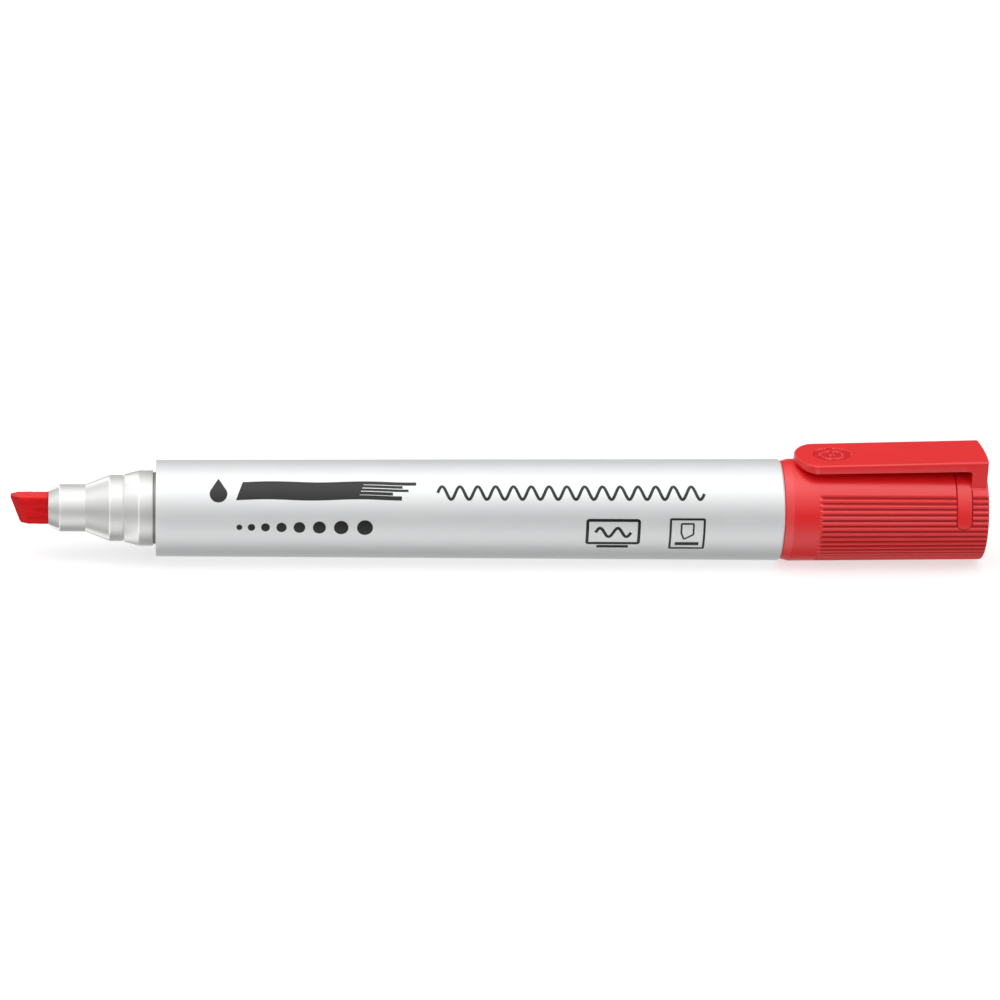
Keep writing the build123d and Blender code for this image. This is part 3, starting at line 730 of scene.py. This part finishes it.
class ClipMesh:
    """Clip and post as one closed mesh. Rows run across the clip, columns along it."""

    def __init__(self):
        self.verts = []
        self.faces = []
        nose_x = CLIP_LOW.x + CLIP_NOSE
        fine_end_x = CLIP_LOW.x + 9.1       # past the mark, where the grid gets coarser
        fillet_x = POST_X - POST_FILLET
        edge_steps = [0.0, 0.02, 0.06, 0.12, 0.20, 0.28, 0.36]
        end_steps = [0.0, 0.015, 0.05, 0.1, 0.16, 0.22]
        inner = merged(spaced(0, 3.25, 0.125), spaced(3.25, CLIP_HALF - CLIP_TOP_R, 0.4))
        self.reach = merged(inner, [CLIP_HALF - step for step in edge_steps])
        self.rows = [-y for y in reversed(self.reach[1:])] + self.reach
        self.columns = merged(
            spaced(nose_x, fine_end_x, 0.125),
            spaced(fine_end_x + 0.2, fillet_x, 0.8),
            spaced(fillet_x, CLIP_ROOT_X - CLIP_END_R, 0.4),
            [CLIP_ROOT_X - step for step in end_steps],
        )
        self.post_column = self.columns.index(min(self.columns, key=lambda x: abs(x - fillet_x)))

    def put(self, x, y, z):
        self.verts.append((x + clip_end_pull(x, y), y, z))
        return len(self.verts) - 1

    def nose_point(self, ray, share):
        """Place on a ray of the half-oval nose and its distance inside the edge."""
        angle = math.pi * ray / NOSE_RAYS
        edge = Vector((-CLIP_NOSE * math.sin(angle), CLIP_HALF * math.cos(angle)))
        normal = Vector((edge.x / CLIP_NOSE ** 2, edge.y / CLIP_HALF ** 2)).normalized()
        return self.columns[0] + edge.x * share, edge.y * share, (1 - share) * edge.dot(normal)

    def sheet(self, height, columns):
        """One face of the clip, its nose in rays and the rest a grid. Returns the grid and nose rim."""
        middle = len(self.reach) - 1
        grid = [[self.put(x, y, height(x, y, CLIP_HALF - abs(y))) for y in self.rows] for x in columns]
        for a, b in zip(grid, grid[1:]):
            for j in range(len(self.rows) - 1):
                self.faces.append((a[j], a[j + 1], b[j + 1], b[j]))
        first = grid[0]
        rays = [[first[middle + k] for k in range(1, len(self.reach))]]
        for ray in range(1, NOSE_RAYS):
            line = []
            for value in self.reach[1:]:
                x, y, side = self.nose_point(ray, value / CLIP_HALF)
                line.append(self.put(x, y, height(x, y, side)))
            rays.append(line)
        rays.append([first[middle - k] for k in range(1, len(self.reach))])
        for a, b in zip(rays, rays[1:]):
            self.faces.append((first[middle], a[0], b[0]))
            for k in range(len(a) - 1):
                self.faces.append((a[k], a[k + 1], b[k + 1], b[k]))
        return grid, [line[-1] for line in rays]

    def walls(self, top, under):
        """Side and end walls between the two faces. Returns the open loop under the clip's root, as
        point numbers with the wall that each belongs to."""
        last = len(self.columns) - 1
        far = len(self.rows) - 1
        low_side = {}
        for i, x in enumerate(self.columns):
            for j in (0, far):
                if i <= self.post_column:
                    low_side[i, j] = under[i][j]
                else:
                    low_side[i, j] = self.put(x, self.rows[j], clip_under_z(x, self.rows[j]))
        for i in range(last):
            for j in (0, far):
                self.faces.append((top[i][j], top[i + 1][j], low_side[i + 1, j], low_side[i, j]))
        low_end = [low_side[last, 0]]
        low_end += [self.put(CLIP_ROOT_X, y, clip_under_z(CLIP_ROOT_X, y)) for y in self.rows[1:-1]]
        low_end.append(low_side[last, far])
        for j in range(far):
            self.faces.append((top[last][j], top[last][j + 1], low_end[j + 1], low_end[j]))
        between = range(self.post_column + 1, last)
        loop = [(n, "front") for n in under[self.post_column]]
        loop += [(low_side[i, far], "side") for i in between]
        loop += [(n, "end") for n in reversed(low_end)]
        loop += [(low_side[i, 0], "side") for i in reversed(between)]
        return loop

    def post_point(self, wall, point, level):
        """Point of the post at a level below the clip's underside."""
        x, y, z = point
        low_z = z - level
        above_cap = low_z - math.sqrt(max(0.0, CAP_END_R ** 2 - y * y))
        flare = rounding(max(above_cap, 0.0), POST_FLARE)
        x -= POST_LEAN * level / POST_DROP * ease(x, POST_X, CLIP_ROOT_X)
        if wall == "front":
            arc = max(0.0, 1 - level / POST_FILLET)
            x = x + POST_FILLET * math.sqrt(1 - arc ** 2) - flare
        if wall != "end" and math.isclose(abs(y), CLIP_HALF):
            y = math.copysign(CLIP_HALF + flare, y)
        return x, y, low_z

    def post(self, loop):
        """The loop under the clip's root is carried down into the cap's wall and closed there."""
        ring = [n for n, _ in loop]
        tops = [(wall, self.verts[n]) for n, wall in loop]
        levels = [POST_FILLET * (1 - math.cos(math.radians(a))) for a in (18, 36, 54, 72, 90)]
        levels += spaced(0.6, 1.6, 0.4) + spaced(1.7, POST_DROP, 0.1)
        for level in levels:
            above = ring
            ring = list(range(len(self.verts), len(self.verts) + len(loop)))
            self.verts += [self.post_point(wall, point, level) for wall, point in tops]
            for k in range(len(loop)):
                n = (k + 1) % len(loop)
                self.faces.append((above[k], above[n], ring[n], ring[k]))
        self.faces.append(tuple(ring))


def make_clip():
    mesh = ClipMesh()
    top, top_nose = mesh.sheet(clip_top_face, mesh.columns)
    under, under_nose = mesh.sheet(clip_under_face, mesh.columns[:mesh.post_column + 1])
    for a, b, c, d in zip(top_nose, top_nose[1:], under_nose, under_nose[1:]):
        mesh.faces.append((a, b, d, c))
    mesh.post(mesh.walls(top, under))
    clip = new_piece("clip_body", mesh.verts, mesh.faces, CAP_RED, None, stands_for=["clip_arm"],
                     slot="cap_plastic")
    # The floor of the mark is textured, and painted darker as shade in its recess.
    clip.data.materials.append(MARK_RED)
    for face in clip.data.polygons:
        x, y, z = face.center / MM
        if mark_depth(x, y) > 0.4 * MARK_DEPTH and z > clip_under_z(x, 0) + 0.3:
            face.material_index = 1
    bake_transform(clip)
    return clip


# ---------------------------------------------------------------- print on the barrel
PRINT_ROW_1 = 48.6      # degrees from the clip's plane, towards -Y
PRINT_ROW_2 = 91.2
PRINT_ICONS = 100.4
PRINT_LINE = 0.46
WAVE_LENGTH = 2.75


class Print:
    """Flat graphics wrapped on the barrel: s runs along it and t up towards the clip, in millimetres."""

    def __init__(self, material):
        self.material = material
        self.verts = []
        self.faces = []

    def wrap(self, s, t, row, lift):
        angle = math.radians(row) - t / barrel_r(s)
        r = barrel_r(s) + lift
        return s, -r * math.sin(angle), r * math.cos(angle)

    def patch(self, grid, row, closed=False):
        """Thin closed slab over a grid of (s, t) points. A closed grid joins its last line to its first."""
        lift, sunk = 0.018, -0.02
        lines, width = len(grid), len(grid[0])
        base = len(self.verts)
        for level in (lift, sunk):
            for line in grid:
                self.verts += [self.wrap(s, t, row, level) for s, t in line]
        under = lines * width

        def at(i, j):
            return base + (i % lines) * width + j

        for i in range(lines if closed else lines - 1):
            for j in range(width - 1):
                quad = (at(i, j), at(i + 1, j), at(i + 1, j + 1), at(i, j + 1))
                self.faces.append(quad)
                self.faces.append(tuple(n + under for n in reversed(quad)))
            for j in (0, width - 1):
                a, b = at(i, j), at(i + 1, j)
                self.faces.append((a, b, b + under, a + under))
        if not closed:
            for i in (0, lines - 1):
                for j in range(width - 1):
                    a, b = at(i, j), at(i, j + 1)
                    self.faces.append((a, b, b + under, a + under))

    def stroke(self, points, width, row, closed=False):
        """Line of even width through points."""
        count = len(points)
        grid = []
        for i, point in enumerate(points):
            before = points[i - 1] if closed or i else points[0]
            after = points[(i + 1) % count] if closed or i < count - 1 else points[-1]
            along = Vector(after) - Vector(before)
            side = Vector((-along.y, along.x)).normalized() * width / 2
            grid.append([tuple(Vector(point) - side), tuple(Vector(point) + side)])
        self.patch(grid, row, closed)

    def disc(self, s, t, radius, row, point=0.0):
        """Disc of upright chords. A point of some height draws its top out to a drop."""
        grid = []
        for k in range(1, 40):
            across = -math.cos(math.pi * k / 40)
            half = math.sqrt(1 - across ** 2)
            top = radius * half + point * max(0.0, 1 - abs(across) / 0.75) ** 1.3
            bottom = -radius * half
            grid.append([(s + radius * across, t + bottom + (top - bottom) * n / 6) for n in range(7)])
        self.patch(grid, row)

    def finish(self, name):
        return new_piece(name, self.verts, self.faces, self.material, "marker", slot="barrel_plastic")


def rounded_box(s, t, half_s, half_t, corner, steps=6):
    """Outline of a rounded rectangle as evenly turned points."""
    points = []
    for quarter, (sign_s, sign_t) in enumerate(((1, 1), (-1, 1), (-1, -1), (1, -1))):
        for k in range(steps + 1):
            angle = math.pi / 2 * (quarter + k / steps)
            points.append((s + sign_s * (half_s - corner) + corner * math.cos(angle),
                           t + sign_t * (half_t - corner) + corner * math.sin(angle)))
    dense = []
    for i, point in enumerate(points):
        after = Vector(points[(i + 1) % len(points)])
        here = Vector(point)
        parts = max(1, round((after - here).length / 0.5))
        dense += [tuple(here.lerp(after, n / parts)) for n in range(parts)]
    return dense


def draw_brush_stroke(art):
    """Stroke with slanted ends, and dry streaks where it runs out."""
    start, end, half = 12.8, 31.5, 1.5
    # Height, length and width of each streak.
    streaks = [(1.22, 8.0, 0.56), (0.62, 6.1, 0.44), (0.07, 7.2, 0.40), (-0.50, 5.0, 0.50),
               (-1.16, 6.6, 0.66)]

    def swept(s, t):
        return s + 0.35 * t, t + 0.10 * math.sin(s * 0.45)

    body = [[swept(s, t) for t in spaced(-half, half, 0.25)] for s in spaced(start, end, 0.5)]
    art.patch(body, PRINT_ROW_1)
    for t, length, width in streaks:
        art.stroke([swept(s, t) for s in spaced(end - 0.1, end + length, 0.4)], width, PRINT_ROW_1)


def draw_wave(art, start, end, middle, height, row):
    points = [(s, middle + height * math.sin((s - start) * 2 * math.pi / WAVE_LENGTH))
              for s in spaced(start, end, 0.11)]
    art.stroke(points, PRINT_LINE, row)


def draw_growing_dots(art):
    place = 12.8
    for i in range(8):
        radius = 0.45 + 0.11 * i
        art.disc(place, -0.2, radius, PRINT_ROW_2)
        place += 2 * radius + 0.95 + 0.08 * i


def draw_board(art):
    """Board with a stroke on it, over its tray."""
    art.stroke(rounded_box(70.35, 0.4, 4.0, 2.0, 0.25), PRINT_LINE, PRINT_ICONS, closed=True)
    draw_wave(art, 67.6, 73.1, 0.4, 0.75, PRINT_ICONS)
    art.stroke([(s, -2.3) for s in spaced(67.9, 72.8, 0.5)], 0.56, PRINT_ICONS)


def draw_nib_icon(art):
    """Frame with the outline of a chisel nib over the thick line that it draws."""
    art.stroke(rounded_box(81.85, 0, 2.62, 2.62, 0.12), 0.34, PRINT_ICONS, closed=True)
    nib = [(80.9, 1.9), (80.9, 0.35), (81.35, -0.75), (82.8, 0.1), (82.8, 1.9)]
    for start, end in zip(nib, nib[1:] + nib[:1]):
        art.stroke([start, tuple(Vector(start).lerp(Vector(end), 0.5)), end], 0.27, PRINT_ICONS)
    art.stroke([(s, -1.65) for s in spaced(80.0, 83.7, 0.5)], 0.62, PRINT_ICONS)


def make_print():
    """Plain graphic marks: an ink drop, a brush stroke, a wave, dots that grow, and two pictograms."""
    art = Print(INK)
    art.disc(9.6, -0.55, 1.35, PRINT_ROW_1, point=1.25)
    draw_brush_stroke(art)
    draw_wave(art, 43.2, 84.4, -0.35, 1.05, PRINT_ROW_1)
    draw_growing_dots(art)
    draw_board(art)
    draw_nib_icon(art)
    return art.finish("barrel_print")


# ---------------------------------------------------------------- hidden CAD pieces
def dress_cad_nodes():
    """The pieces inside keep their CAD shape and get a material each."""
    for node, material in (("reservoir_fibre", RESERVOIR), ("reservoir_film", FILM),
                           ("breather_tube", NATURAL), ("cap_inner", NATURAL)):
        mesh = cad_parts[node].data
        mesh.materials.clear()
        mesh.materials.append(material)


# ---------------------------------------------------------------- stage, light and camera
FLOOR_GLOW = 0.62       # keeps the floor pale under the soft studio light


def make_floor():
    low = CAD_BOX[0].z
    half = 3.0
    corners = [(-half, -half, low), (half, -half, low), (half, half, low), (-half, half, low)]
    mesh = bpy.data.meshes.new("studio_floor")
    mesh.from_pydata(corners, [], [(0, 1, 2, 3)])
    floor = bpy.data.objects.new("studio_floor", mesh)
    bpy.context.scene.collection.objects.link(floor)
    s = Shader("pale_floor", Roughness=0.7)
    s.set("Base Color", s.tint(s.noise(6), (0.42, 0.42, 0.42), (0.44, 0.44, 0.44)))
    s.surface.inputs["Emission Color"].default_value = (1, 1, 1, 1)
    s.surface.inputs["Emission Strength"].default_value = FLOOR_GLOW
    mesh.materials.append(s.material)
    # The marker is lit and mirrored by the studio alone; the floor only catches its shadow.
    floor.visible_glossy = False
    floor.visible_diffuse = False
    floor.visible_shadow = False


# Brightness of the studio round the marker, by angle about its axis: 0 is the viewer's side,
# 90 straight above, 180 behind. A long soft box hangs above, a dark gap lies at eye level.
STUDIO = [(-180, 0.31), (-148, 0.56), (-108, 0.16), (-84, 0.31), (-54, 1.00), (-30, 0.70), (-2, 0.16),
          (28, 0.66), (56, 1.42), (78, 1.96), (105, 1.28), (132, 0.47), (156, 0.12), (180, 0.31)]
# Factor on it by the X part of the direction: the boxes end a little past the nib.
STUDIO_SIDE = [(-1.0, 0.62), (-0.68, 0.64), (-0.45, 0.75), (-0.20, 0.98), (0.0, 1.0), (1.0, 1.0)]
# A strip light stands past the nib's end, the same at every height.
STRIP = [(-1.0, 0.0), (-0.45, 0.0), (-0.29, 1.5), (-0.13, 0.0), (1.0, 0.0)]
STUDIO_PEAK = max(level for _, level in STUDIO)


def make_studio():
    """World light for the marker from the curves above; the camera itself sees plain white."""
    world = bpy.data.worlds.new("studio")
    bpy.context.scene.world = world
    world.use_nodes = True
    tree = world.node_tree
    tree.nodes.clear()

    def add(kind, inputs=None, **settings):
        return add_node(tree, kind, inputs, **settings)

    ray = add("ShaderNodeTexCoord").outputs["Generated"]
    split = add("ShaderNodeSeparateXYZ", {0: ray})
    towards = add("ShaderNodeMath", {0: split.outputs["Y"], 1: -1.0}, operation="MULTIPLY").outputs[0]
    angle = add("ShaderNodeMath", {0: split.outputs["Z"], 1: towards}, operation="ARCTAN2").outputs[0]
    place = add("ShaderNodeMapRange", {"Value": angle, "From Min": -math.pi, "From Max": math.pi}).outputs[0]

    def curve(value, stops, peak, interpolation="CARDINAL"):
        """Smooth curve through (place 0 to 1, level) stops, as a share of a peak."""
        node = add("ShaderNodeValToRGB", {"Fac": value})
        node.color_ramp.interpolation = interpolation
        set_stops(node, [(position, (level / peak,) * 3) for position, level in stops])
        return node.outputs["Color"]

    around = curve(place, [((degrees + 180) / 360, level) for degrees, level in STUDIO], STUDIO_PEAK)
    across = {"Value": split.outputs["X"], "From Min": -1, "From Max": 1}
    along = add("ShaderNodeMapRange", across).outputs[0]
    side = curve(along, [((x + 1) / 2, level) for x, level in STUDIO_SIDE], 1.0)
    strip = curve(along, [((x + 1) / 2, level) for x, level in STRIP], STUDIO_PEAK, "EASE")
    boxes = add("ShaderNodeMixRGB", {"Fac": 1.0, "Color1": around, "Color2": side},
                blend_type="MULTIPLY").outputs[0]
    light = add("ShaderNodeMixRGB", {"Fac": 1.0, "Color1": boxes, "Color2": strip}, blend_type="ADD")
    lit = add("ShaderNodeBackground", {"Color": light.outputs[0], "Strength": STUDIO_PEAK})
    seen = add("ShaderNodeBackground", {"Color": (1, 1, 1, 1), "Strength": 1.0})
    camera_ray = add("ShaderNodeLightPath").outputs["Is Camera Ray"]
    mix = add("ShaderNodeMixShader", {0: camera_ray, 1: lit.outputs[0], 2: seen.outputs[0]})
    add("ShaderNodeOutputWorld", {"Surface": mix.outputs[0]})


def make_camera():
    """Seen from the front, 20 degrees up and a little from the nib's end, with the axis all but level."""
    azimuth, elevation = math.radians(-4.6), math.radians(20.0)
    distance = 0.660
    view_width = 0.1555
    tilt = math.radians(0.15)
    rise = 0.00138      # the view's middle lies this far above the axis
    middle_x = (CAD_BOX[0].x + CAD_BOX[1].x) / 2 + 0.0001
    back = Vector((math.sin(azimuth) * math.cos(elevation), -math.cos(azimuth) * math.cos(elevation),
                   math.sin(elevation)))
    axis = Vector((1, 0, 0))
    right = (axis - back * axis.dot(back)).normalized()
    up = back.cross(right)
    right, up = right * math.cos(tilt) + up * math.sin(tilt), up * math.cos(tilt) - right * math.sin(tilt)
    target = Vector((middle_x, 0, 0)) + up * rise
    data = bpy.data.cameras.new("photo_view")
    data.sensor_width = 36.0
    data.lens = data.sensor_width * distance / view_width
    data.clip_start = 0.01
    data.clip_end = 20.0
    camera = bpy.data.objects.new("photo_view", data)
    bpy.context.scene.collection.objects.link(camera)
    turn = Matrix((right, up, back)).transposed().to_4x4()
    camera.matrix_world = Matrix.Translation(target + back * distance) @ turn
    bpy.context.scene.camera = camera


make_barrel()
make_holder()
make_plug()
make_nib()
make_cap()
make_clip()
make_print()
dress_cad_nodes()
make_floor()
make_studio()
make_camera()
bpy.context.scene.view_settings.view_transform = "Standard"
